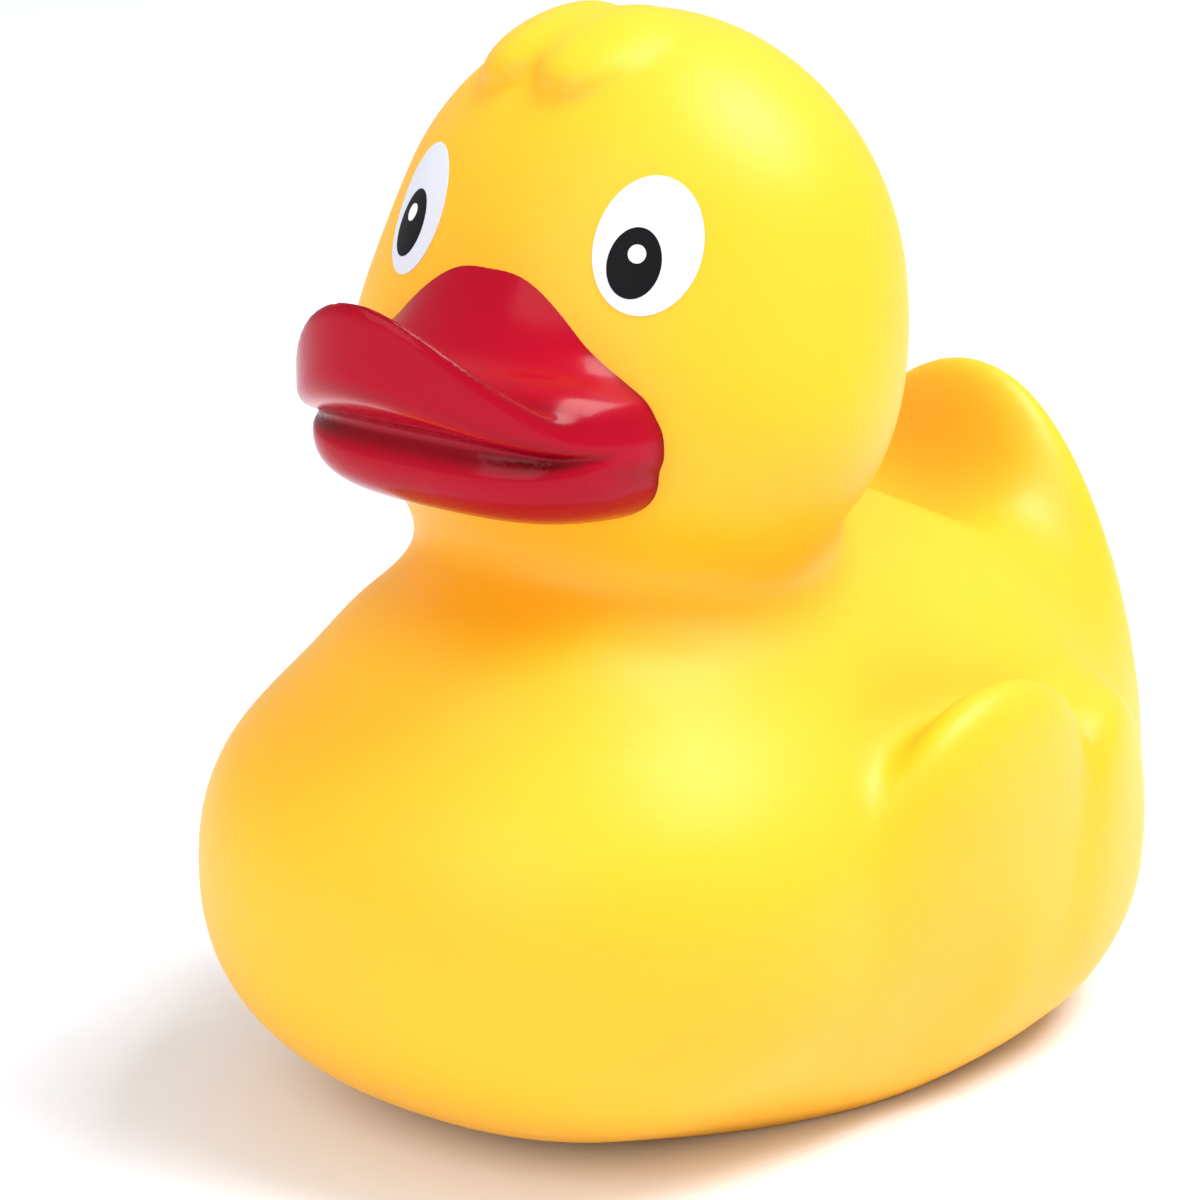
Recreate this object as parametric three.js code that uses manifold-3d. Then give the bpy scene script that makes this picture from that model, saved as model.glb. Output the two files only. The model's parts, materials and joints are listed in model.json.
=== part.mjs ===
// Bath duck: one hollow soft-PVC casting with a squeaker pressed into the middle of its flat base.
// Millimetres, +Z up, standing on z = 0. The beak points along -Y, +X is the duck's own left side.
import * as THREE from 'three';
import { mergeVertices } from 'three/addons/utils/BufferGeometryUtils.js';
import Module from 'manifold-3d';

// ---- casting ---------------------------------------------------------------------------------
const WALL = 1.8;              // skin thickness of the casting
const FLOOR = 3.0;             // thickness of the flat base
const SKIN_CELL = 3.4;         // facet size of the outer skin
const BEAK_CELL = 1.45;         // facet size of the beak
const CAVITY_CELL = 5.4;       // facet size of the hollow inside
const MERGE_DISTANCE = 0.01;   // vertices closer than this are one vertex

// ---- soft masses: centre, half sizes, power of the superellipsoid, turns in degrees -----------
const HULL = { centre: [0, -17.3, 21.3], half: [32.05, 32.05, 22.3], power: 2.3 };
const RUMP = { centre: [0, 5.6, 15.8], half: [33.35, 40.3, 21.6], power: 2.3 };
const BACK = { centre: [0, 10.4, 28.0], half: [25.4, 32.75, 21.3], power: 2 };
const TAIL = { centre: [0, 40.0, 27.8], half: [16.9, 6.9, 27.3], power: 2, tilt: -2 };
const TAIL_SCOOP = { centre: [0, 28.2, 56.0], half: [11.0, 7.0, 14.0], power: 2, tilt: -6 };
const FLANK_DENT = { centre: [38.5, -6.8, 9.0], half: [6.5, 7.0, 15.0], power: 2 };
const WING = { centre: [29.6, -0.3, 24.0], half: [5.0, 15.5, 15.0], power: 2.1, roll: -9 };
const PLUME = { centre: [25.9, 19.6, 18.6], half: [5.6, 11.1, 14.0], power: 2.3, yaw: 24, roll: -12 };
const NECK = { centre: [0, -14.5, 40.3], half: [18.4, 21.6, 9.8], power: 2 };
const HEAD = { centre: [0, -8.6, 69.8], half: [23.9, 20.2, 24.8], power: 2 };
const OCCIPUT = { centre: [0, -7.8, 66.8], half: [20.3, 21.9, 22.1], power: 2 };
const CHEEKS = { centre: [0, -13.8, 61.9], half: [24.7, 16.5, 14.9], power: 2 };
const TUFT = { centre: [1.0, -14.8, 91.9], half: [5.2, 7.2, 2.5], power: 2, tilt: 17, roll: -3 };
const SIDE_TUFT = { centre: [-6.2, -13.8, 91.6], half: [5.0, 7.2, 2.6], power: 2, tilt: 15, roll: 17 };

// ---- how softly neighbouring masses run together ----------------------------------------------
const BLEND = {
  rump: 4,
  back: 8.8,
  tail: 12.1,
  scoop: 7,
  dent: 6,
  plume: 1.2,
  wing: 3.6,
  neck: 12.1,
  head: 7,
  occiput: 3,
  cheeks: 8,
  tuft: 1.2,
};

// ---- beak: a lipped upper bill over a fuller lower bill ----------------------------------------
const BEAK = {
  halfWidth: 16.1,             // at the corners of the mouth
  reach: 20.4,                 // from the corners to the tip
  cornerY: -26.1,
  rootY: -29.2,                // where the bridge leaves the brow
  backY: -12.8,                // buried end, inside the head
  rimZ: 63.6,                  // rim of the upper bill at the corners
  rimRise: 14.6,               // and how far it sweeps up to the tip
  rimTop: 78.3,
  lipZ: 61.9,                  // lower edge of the upper bill at the corners
  lipRise: 6.2,
  sweep: 2.5,                  // power of both sweeps
  arch: 12.5,                  // height of the bridge over the corners
  dip: 1.6,                    // hollow of the saddle
  bead: 0.6,                   // raised edge along the rim
  ridgeZ: 62.2,                // ridge of the lower bill at the corners
  ridgeDrop: 2.0,              // and how far it drops to the tip
  valley: 0.9,                 // hollow between that ridge and the lip above
};
const LOWER_BILL = { centre: [0, -23.8, 61.7], half: [16.3, 16.2, 7.2], power: 3.2, tilt: -5 };

// ---- squeaker ---------------------------------------------------------------------------------
const GAP = 0.3;               // clearance between separate pieces
const SEAT_RADIUS = 8.0;       // recess in the underside for the flange
const SEAT_DEPTH = 1.8;
const HOLE_RADIUS = 5.6;       // hole through the base
const FLANGE_Z = 0.4;          // the flange sits this far above the table
const HOUSING_TOP = 12.0;
const BORE_RADIUS = 2.0;       // air hole in the flange
const CHAMBER_RADIUS = 4.2;    // room for the reed
const CHAMBER_Z = 3.2;
const REED_THICKNESS = 0.4;
const CAP_HOLE_RADIUS = 1.1;
const ROUND_SEGMENTS = 32;

const wasm = await Module();
wasm.setup();

// ---- small maths --------------------------------------------------------------------------------
const DEGREE = Math.PI / 180;

function smoothMin(a, b, k) {
  const h = Math.max(k - Math.abs(a - b), 0) / k;
  return Math.min(a, b) - h * h * k * 0.25;
}

function smoothMax(a, b, k) {
  return -smoothMin(-a, -b, k);
}

function smoothStep(from, to, x) {
  const t = Math.min(Math.max((x - from) / (to - from), 0), 1);
  return t * t * (3 - 2 * t);
}

// ---- distance fields ----------------------------------------------------------------------------

// Distance to a superellipsoid, near enough for blending and for walking a vertex onto the skin.
function mass(shape, px, py, pz) {
  let x = px - shape.centre[0];
  let y = py - shape.centre[1];
  let z = pz - shape.centre[2];
  if (shape.yaw) {
    const c = Math.cos(shape.yaw * DEGREE);
    const s = Math.sin(shape.yaw * DEGREE);
    [x, y] = [c * x + s * y, -s * x + c * y];
  }
  if (shape.tilt) {
    const c = Math.cos(shape.tilt * DEGREE);
    const s = Math.sin(shape.tilt * DEGREE);
    [y, z] = [c * y + s * z, -s * y + c * z];
  }
  if (shape.roll) {
    const c = Math.cos(shape.roll * DEGREE);
    const s = Math.sin(shape.roll * DEGREE);
    [x, z] = [c * x + s * z, -s * x + c * z];
  }
  const [a, b, c] = shape.half;
  const n = shape.power;
  const u = Math.abs(x / a);
  const v = Math.abs(y / b);
  const w = Math.abs(z / c);
  const k = Math.max((u ** n + v ** n + w ** n) ** (1 / n), 1e-6);
  const slope = Math.hypot(u ** (n - 1) / a, v ** (n - 1) / b, w ** (n - 1) / c) / k ** (n - 1);
  return (k - 1) / Math.max(slope, 1e-6);
}

function ellipse(x, y, a, b) {
  const k = Math.hypot(x / a, y / b);
  return (k * (k - 1)) / Math.max(Math.hypot(x / (a * a), y / (b * b)), 1e-6);
}

function wings(x, y, z) {
  return smoothMin(mass(WING, Math.abs(x), y, z), mass(PLUME, Math.abs(x), y, z), BLEND.plume);
}

// Chest and rump with the back over them, the upturned tail, and a dent low on each flank between the two.
function torso(x, y, z) {
  let d = smoothMin(mass(HULL, x, y, z), mass(RUMP, x, y, z), BLEND.rump);
  d = smoothMin(d, mass(BACK, x, y, z), BLEND.back);
  d = smoothMin(d, mass(TAIL, x, y, z), BLEND.tail);
  d = smoothMax(d, -mass(TAIL_SCOOP, x, y, z), BLEND.scoop);
  return smoothMax(d, -mass(FLANK_DENT, Math.abs(x), y, z), BLEND.dent);
}

function skull(x, y, z) {
  const ball = smoothMin(mass(HEAD, x, y, z), mass(OCCIPUT, x, y, z), BLEND.occiput);
  return smoothMin(ball, mass(CHEEKS, x, y, z), BLEND.cheeks);
}

// Torso, wings, neck and head run together as the one moulded skin.
function skin(x, y, z) {
  let d = smoothMin(torso(x, y, z), wings(x, y, z), BLEND.wing);
  d = smoothMin(d, mass(NECK, x, y, z), BLEND.neck);
  d = smoothMin(d, skull(x, y, z), BLEND.head);
  const tuft = smoothMin(mass(TUFT, x, y, z), mass(SIDE_TUFT, x, y, z), BLEND.tuft);
  return smoothMin(d, tuft, BLEND.tuft);
}

// The hollow follows the large masses only, so the wings and the beak are thicker than the wall.
function hollow(x, y, z) {
  let d = smoothMin(torso(x, y, z), mass(NECK, x, y, z), BLEND.neck);
  d = smoothMin(d, skull(x, y, z), BLEND.head) + WALL;
  return smoothMax(d, FLOOR - z, 2);
}

function lipHeight(s) {
  return BEAK.lipZ + BEAK.lipRise * s ** BEAK.sweep;
}

// In plan the bill is half an ellipse, and s runs along it from the corners of the mouth to the tip.
function upperBill(x, y, z, s, side) {
  const halfWidth = BEAK.halfWidth * Math.sqrt(Math.max(1 - s * s, 0.01));
  const across = Math.min(Math.abs(x) / halfWidth, 1) ** 2.5;
  const rootY = BEAK.rootY + (BEAK.cornerY - BEAK.rootY) * Math.min(Math.abs(x) / BEAK.halfWidth, 1) ** 2;
  const t = Math.min(Math.max((rootY - y) / (rootY + BEAK.reach - BEAK.cornerY), -0.2), 1);
  const lift = BEAK.arch * (1 - t) ** 2 - 4 * BEAK.dip * t * (1 - t);
  const rim = Math.min(BEAK.rimZ + BEAK.rimRise * s ** BEAK.sweep, BEAK.rimTop);
  const top = rim + lift * (1 - across) - BEAK.bead * smoothStep(0.6, 2.2, -side);
  const rolled = smoothMax(side, (z - top) * 0.85, 2.0 + 1.4 * s * s);
  return smoothMax(rolled, lipHeight(s) - z, 1.4 + 0.6 * s);
}

// The lower bill is pressed in between its own ridge and the lip above it.
function lowerBill(x, y, z, s) {
  const d = mass(LOWER_BILL, x, y, z);
  const ridge = BEAK.ridgeZ - BEAK.ridgeDrop * s ** 3;
  const half = Math.max((lipHeight(s) - ridge) / 2 + 0.2, 0.3);
  const middle = (lipHeight(s) + ridge) / 2 + 0.4;
  const open = smoothStep(0.2, 0.5, s) * (1 - 0.5 * smoothStep(0.75, 0.95, s));
  const press = BEAK.valley * open * Math.exp(-(((z - middle) / half) ** 2));
  return d + press * smoothStep(-3, -0.5, d);
}

function beak(x, y, z) {
  const forward = Math.max(BEAK.cornerY - y, 0);
  const s = Math.min(forward / BEAK.reach, 1);
  const side = ellipse(x, forward, BEAK.halfWidth, BEAK.reach);
  const corner = 1.6 + 1.2 * (1 - smoothStep(0.12, 0.42, s));
  const d = smoothMin(upperBill(x, y, z, s, side), lowerBill(x, y, z, s), corner);
  return smoothMax(d, y - BEAK.backY, 1.0);
}

// ---- polygons -----------------------------------------------------------------------------------

// Moves a point onto the zero surface of a field along its gradient.
function settle(field, p) {
  const e = 0.05;
  for (let i = 0; i < 4; i += 1) {
    const d = field(p[0], p[1], p[2]);
    const gx = (field(p[0] + e, p[1], p[2]) - field(p[0] - e, p[1], p[2])) / (2 * e);
    const gy = (field(p[0], p[1] + e, p[2]) - field(p[0], p[1] - e, p[2])) / (2 * e);
    const gz = (field(p[0], p[1], p[2] + e) - field(p[0], p[1], p[2] - e)) / (2 * e);
    const g = Math.max(gx * gx + gy * gy + gz * gz, 0.2);
    p[0] -= (d * gx) / g;
    p[1] -= (d * gy) / g;
    p[2] -= (d * gz) / g;
  }
  return p;
}

// Surface nets: one vertex in each cell that the surface crosses, one quad on each crossed grid edge.
// The grid is laid evenly on both sides of x = 0, so the two halves mirror each other.
function polygonise(field, low, high, cell) {
  const half = Math.ceil(high[0] / cell);
  const size = [2 * half + 1, 0, 0];
  const start = [-half * cell, low[1], low[2]];
  for (let a = 1; a < 3; a += 1) {
    size[a] = Math.ceil((high[a] - low[a]) / cell) + 1;
  }
  const step = [1, size[0], size[0] * size[1]];
  const values = new Float64Array(size[0] * size[1] * size[2]);
  const at = (i, j, k) => i + j * step[1] + k * step[2];
  for (let k = 0; k < size[2]; k += 1) {
    for (let j = 0; j < size[1]; j += 1) {
      for (let i = 0; i < size[0]; i += 1) {
        values[at(i, j, k)] = field(start[0] + i * cell, start[1] + j * cell, start[2] + k * cell);
      }
    }
  }
  const corners = [];
  for (let n = 0; n < 8; n += 1) {
    corners.push([n & 1, (n >> 1) & 1, n >> 2]);
  }
  const points = [];
  const vertexOf = new Map();
  for (let k = 0; k < size[2] - 1; k += 1) {
    for (let j = 0; j < size[1] - 1; j += 1) {
      for (let i = 0; i < size[0] - 1; i += 1) {
        const sum = [0, 0, 0];
        let crossings = 0;
        for (let n = 0; n < 8; n += 1) {
          for (let a = 0; a < 3; a += 1) {
            if (n & (1 << a)) continue;
            const m = n | (1 << a);
            const v = values[at(i + corners[n][0], j + corners[n][1], k + corners[n][2])];
            const w = values[at(i + corners[m][0], j + corners[m][1], k + corners[m][2])];
            if (v < 0 === w < 0) continue;
            const t = v / (v - w);
            for (let b = 0; b < 3; b += 1) {
              sum[b] += corners[n][b] + (b === a ? t : 0);
            }
            crossings += 1;
          }
        }
        if (crossings === 0) continue;
        const p = [i, j, k].map((c, b) => start[b] + (c + sum[b] / crossings) * cell);
        vertexOf.set(at(i, j, k), points.length / 3);
        points.push(...settle(field, p));
      }
    }
  }
  const faces = [];
  const length2 = (u, v) => {
    const dx = points[3 * u] - points[3 * v];
    const dy = points[3 * u + 1] - points[3 * v + 1];
    const dz = points[3 * u + 2] - points[3 * v + 2];
    return dx * dx + dy * dy + dz * dz;
  };
  const addQuad = (quad, flip) => {
    const [a, b, c, d] = flip ? [quad[3], quad[2], quad[1], quad[0]] : quad;
    if (length2(a, c) < length2(b, d)) {
      faces.push(a, b, c, a, c, d);
    } else {
      faces.push(a, b, d, b, c, d);
    }
  };
  for (let k = 1; k < size[2] - 1; k += 1) {
    for (let j = 1; j < size[1] - 1; j += 1) {
      for (let i = 1; i < size[0] - 1; i += 1) {
        const here = at(i, j, k);
        for (let a = 0; a < 3; a += 1) {
          const inside = values[here] < 0;
          if (inside === values[here + step[a]] < 0) continue;
          const u = step[(a + 1) % 3];
          const v = step[(a + 2) % 3];
          const quad = [here, here - u, here - u - v, here - v].map((cellId) => vertexOf.get(cellId));
          addQuad(quad, !inside);
        }
      }
    }
  }
  return toSolid(points, faces);
}

// ---- solids -------------------------------------------------------------------------------------

function toSolid(points, faces) {
  const mesh = new wasm.Mesh({
    numProp: 3,
    vertProperties: new Float32Array(points),
    triVerts: new Uint32Array(faces),
  });
  return new wasm.Manifold(mesh);
}

function solidOf(geometry) {
  const bare = geometry.clone();
  bare.deleteAttribute('normal');
  bare.deleteAttribute('uv');
  const merged = mergeVertices(bare, 1e-4);
  return toSolid(merged.attributes.position.array, merged.index.array);
}

// A cut leaves a few vertices a hair apart: they are merged, and the triangles that collapse are dropped.
function geometryOf(solid) {
  const mesh = solid.getMesh();
  const raw = new THREE.BufferGeometry();
  raw.setAttribute('position', new THREE.BufferAttribute(new Float32Array(mesh.vertProperties), 3));
  raw.setIndex(new THREE.BufferAttribute(new Uint32Array(mesh.triVerts), 1));
  const geometry = mergeVertices(raw, MERGE_DISTANCE);
  const index = geometry.index.array;
  const kept = [];
  for (let i = 0; i < index.length; i += 3) {
    const [a, b, c] = [index[i], index[i + 1], index[i + 2]];
    if (a !== b && b !== c && c !== a) kept.push(a, b, c);
  }
  geometry.setIndex(kept);
  geometry.computeVertexNormals();
  return geometry;
}

// A solid of revolution about Z from a closed profile of [radius, height] points.
function turned(profile) {
  const outline = [...profile, profile[0]].map(([r, z]) => new THREE.Vector2(r, z));
  const geometry = new THREE.LatheGeometry(outline, ROUND_SEGMENTS);
  geometry.rotateX(Math.PI / 2);
  geometry.scale(1, -1, 1);
  const index = geometry.index.array;
  for (let i = 0; i < index.length; i += 3) {
    [index[i], index[i + 1]] = [index[i + 1], index[i]];
  }
  return geometry;
}

function block(low, high) {
  const size = high.map((h, a) => h - low[a]);
  const geometry = new THREE.BoxGeometry(...size);
  geometry.translate(...high.map((h, a) => (h + low[a]) / 2));
  return solidOf(geometry);
}

function drum(radius, bottom, top) {
  const geometry = new THREE.CylinderGeometry(radius, radius, top - bottom, ROUND_SEGMENTS);
  geometry.rotateX(Math.PI / 2);
  geometry.translate(0, 0, (top + bottom) / 2);
  return solidOf(geometry);
}

// ---- pieces -------------------------------------------------------------------------------------

function duckBody() {
  const outer = polygonise(skin, [-42, -56, -14], [42, 58, 102], SKIN_CELL);
  const bill = polygonise(beak, [-20, -50, 48], [20, -8, 84], BEAK_CELL);
  const inner = polygonise(hollow, [-42, -56, -14], [42, 58, 102], CAVITY_CELL);
  const below = block([-90, -90, -40], [90, 90, 0]);
  const seat = drum(SEAT_RADIUS, -1, SEAT_DEPTH);
  const hole = drum(HOLE_RADIUS, -1, FLOOR + 4);
  return geometryOf(outer.add(bill).subtract(below).subtract(inner).subtract(seat).subtract(hole));
}

function squeakerHousing() {
  const flangeTop = SEAT_DEPTH - GAP;
  const tube = HOLE_RADIUS - GAP;
  const bead = HOLE_RADIUS + 0.6;
  return turned([
    [BORE_RADIUS, FLANGE_Z],
    [SEAT_RADIUS - GAP, FLANGE_Z],
    [SEAT_RADIUS - GAP, flangeTop],
    [tube, flangeTop],
    [tube, FLOOR + GAP],
    [bead, FLOOR + GAP + 0.4],
    [bead, FLOOR + GAP + 1.0],
    [tube, FLOOR + GAP + 2.0],
    [tube, HOUSING_TOP],
    [CHAMBER_RADIUS, HOUSING_TOP],
    [CHAMBER_RADIUS, CHAMBER_Z],
    [BORE_RADIUS, CHAMBER_Z],
  ]);
}

// A round reed plate with a tongue cut free on three sides.
function squeakerReed() {
  const radius = CHAMBER_RADIUS - GAP;
  const plate = new THREE.Shape();
  plate.absarc(0, 0, radius, 0, 2 * Math.PI, false);
  const slot = new THREE.Path();
  slot.moveTo(-1.5, -1.8);
  slot.lineTo(-1.5, 2.0);
  slot.lineTo(1.5, 2.0);
  slot.lineTo(1.5, -1.8);
  slot.lineTo(1.1, -1.8);
  slot.lineTo(1.1, 1.6);
  slot.lineTo(-1.1, 1.6);
  slot.lineTo(-1.1, -1.8);
  slot.closePath();
  plate.holes.push(slot);
  return new THREE.ExtrudeGeometry(plate, { depth: REED_THICKNESS, bevelEnabled: false, curveSegments: 24 });
}

function squeakerCap() {
  const skirt = CHAMBER_RADIUS - GAP;
  const bottom = CHAMBER_Z + 3 * GAP + REED_THICKNESS;
  return turned([
    [CAP_HOLE_RADIUS, HOUSING_TOP - 1.2],
    [skirt - 1.0, HOUSING_TOP - 1.2],
    [skirt - 1.0, bottom],
    [skirt, bottom],
    [skirt, HOUSING_TOP + GAP],
    [HOLE_RADIUS - GAP, HOUSING_TOP + GAP],
    [HOLE_RADIUS - GAP, HOUSING_TOP + GAP + 1.0],
    [CAP_HOLE_RADIUS, HOUSING_TOP + GAP + 1.0],
  ]);
}

// ---- assembly -----------------------------------------------------------------------------------

const YELLOW_PVC = { color: 0xf9d43a, roughness: 0.5, metalness: 0 };
const WHITE_PLASTIC = { color: 0xe8e8e4, roughness: 0.4, metalness: 0 };
const REED_PLASTIC = { color: 0xd8c9a0, roughness: 0.35, metalness: 0 };

function piece(name, geometry, finish, height = 0) {
  const mesh = new THREE.Mesh(geometry, new THREE.MeshStandardMaterial(finish));
  mesh.name = name;
  mesh.position.z = height;
  return mesh;
}

const duck = new THREE.Group();
duck.add(piece('duck_body', duckBody(), YELLOW_PVC));
duck.add(piece('squeaker_housing', squeakerHousing(), WHITE_PLASTIC));
duck.add(piece('squeaker_reed', squeakerReed(), REED_PLASTIC, CHAMBER_Z + GAP));
duck.add(piece('squeaker_cap', squeakerCap(), WHITE_PLASTIC));

export default duck;
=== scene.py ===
"""A soft toy duck: a yellow vinyl casting, a lacquered beak, printed eyes and a squeaker.

Sizes are in millimetres until a mesh is made. The duck looks along -Y, its left side is +X
and it stands on the plane z = 0. Every rounded form is a distance field: negative inside.
"""

import json
import logging
import math
from collections.abc import Callable
from dataclasses import dataclass, field
from enum import Enum
from typing import Any

import bmesh
import bpy
import numpy as np
from mathutils import Matrix, Vector

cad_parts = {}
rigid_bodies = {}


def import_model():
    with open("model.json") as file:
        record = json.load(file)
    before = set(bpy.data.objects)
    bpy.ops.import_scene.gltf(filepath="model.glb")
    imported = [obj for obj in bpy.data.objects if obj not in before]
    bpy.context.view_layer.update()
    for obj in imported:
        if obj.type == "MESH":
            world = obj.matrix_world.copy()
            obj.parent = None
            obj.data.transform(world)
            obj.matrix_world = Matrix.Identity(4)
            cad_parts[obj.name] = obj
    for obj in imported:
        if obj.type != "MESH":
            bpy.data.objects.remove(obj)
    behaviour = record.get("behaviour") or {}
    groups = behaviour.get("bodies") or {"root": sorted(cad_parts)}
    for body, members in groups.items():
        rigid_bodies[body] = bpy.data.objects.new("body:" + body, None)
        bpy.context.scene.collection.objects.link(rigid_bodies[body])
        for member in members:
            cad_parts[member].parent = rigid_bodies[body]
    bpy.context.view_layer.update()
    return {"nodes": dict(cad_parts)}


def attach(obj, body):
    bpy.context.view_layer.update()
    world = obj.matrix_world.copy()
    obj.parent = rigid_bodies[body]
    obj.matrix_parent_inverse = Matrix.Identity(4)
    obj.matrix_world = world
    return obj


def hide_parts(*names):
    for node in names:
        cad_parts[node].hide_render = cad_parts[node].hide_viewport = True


MM = 0.001
BODY_NODE = "duck_body"
ROOT = "root"
SHRINK = 0.09  # millimetres that the skin is drawn in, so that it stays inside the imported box

Triple = tuple[float, float, float]
Colour = tuple[float, float, float, float]
Field = Callable[[np.ndarray], np.ndarray]

log = logging.getLogger("duck")


# ---------------------------------------------------------------- forms


def join(first: np.ndarray, second: np.ndarray, radius: float) -> np.ndarray:
    """Unites two fields and rounds the crease between them.

    Args:
        first: Distances to one form.
        second: Distances to the other form.
        radius: How far the rounding reaches.

    Returns:
        Distances to the united form.
    """
    overlap = np.maximum(radius - np.abs(first - second), 0) / radius
    return np.minimum(first, second) - overlap * overlap * radius * 0.25


def keep(first: np.ndarray, second: np.ndarray, radius: float | np.ndarray) -> np.ndarray:
    """Keeps what lies in both fields and rounds the edge between them.

    Args:
        first: Distances to one form.
        second: Distances to the other form.
        radius: How far the rounding reaches.

    Returns:
        Distances to the shared form.
    """
    overlap = np.maximum(radius - np.abs(first - second), 0) / radius
    return np.maximum(first, second) + overlap * overlap * radius * 0.25


def carve(solid: np.ndarray, tool: np.ndarray, radius: float) -> np.ndarray:
    """Takes one form out of another, with a rounded edge."""
    return keep(solid, -tool, radius)


def ease(low: float, high: float, value: np.ndarray) -> np.ndarray:
    """Rises smoothly from 0 at low to 1 at high."""
    share = np.clip((value - low) / (high - low), 0, 1)
    return share * share * (3 - 2 * share)


def mirrored(points: np.ndarray) -> np.ndarray:
    """Folds the points on to the duck's left side."""
    folded = points.copy()
    folded[:, 0] = np.abs(folded[:, 0])
    return folded


@dataclass(frozen=True)
class Mass:
    """A rounded lump: an ellipsoid whose power above 2 makes it fuller at its corners."""

    centre: Triple
    half: Triple
    power: float = 2.0
    tilt: float = 0.0
    yaw: float = 0.0
    roll: float = 0.0

    def distance(self, points: np.ndarray) -> np.ndarray:
        """Measures from the lump's skin.

        Args:
            points: Places in millimetres, one to a row.

        Returns:
            About how far each lies outside.
        """
        x, y, z = (points - np.array(self.centre)).T
        x, y = self._turned(x, y, self.yaw)
        y, z = self._turned(y, z, self.tilt)
        x, z = self._turned(x, z, self.roll)
        shares = [np.abs(along / half) for along, half in zip((x, y, z), self.half)]
        reach = sum(share**self.power for share in shares) ** (1 / self.power)
        slope = np.sqrt(
            sum((share ** (self.power - 1) / half) ** 2 for share, half in zip(shares, self.half))
        )
        slope = slope / np.maximum(reach, 1e-6) ** (self.power - 1)
        return (reach - 1) / np.maximum(slope, 1e-6)

    @staticmethod
    def _turned(a: np.ndarray, b: np.ndarray, degrees: float) -> tuple[np.ndarray, np.ndarray]:
        """Turns a pair of coordinates into the lump's own axes."""
        if not degrees:
            return a, b
        cos, sin = math.cos(math.radians(degrees)), math.sin(math.radians(degrees))
        return cos * a + sin * b, cos * b - sin * a


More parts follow.
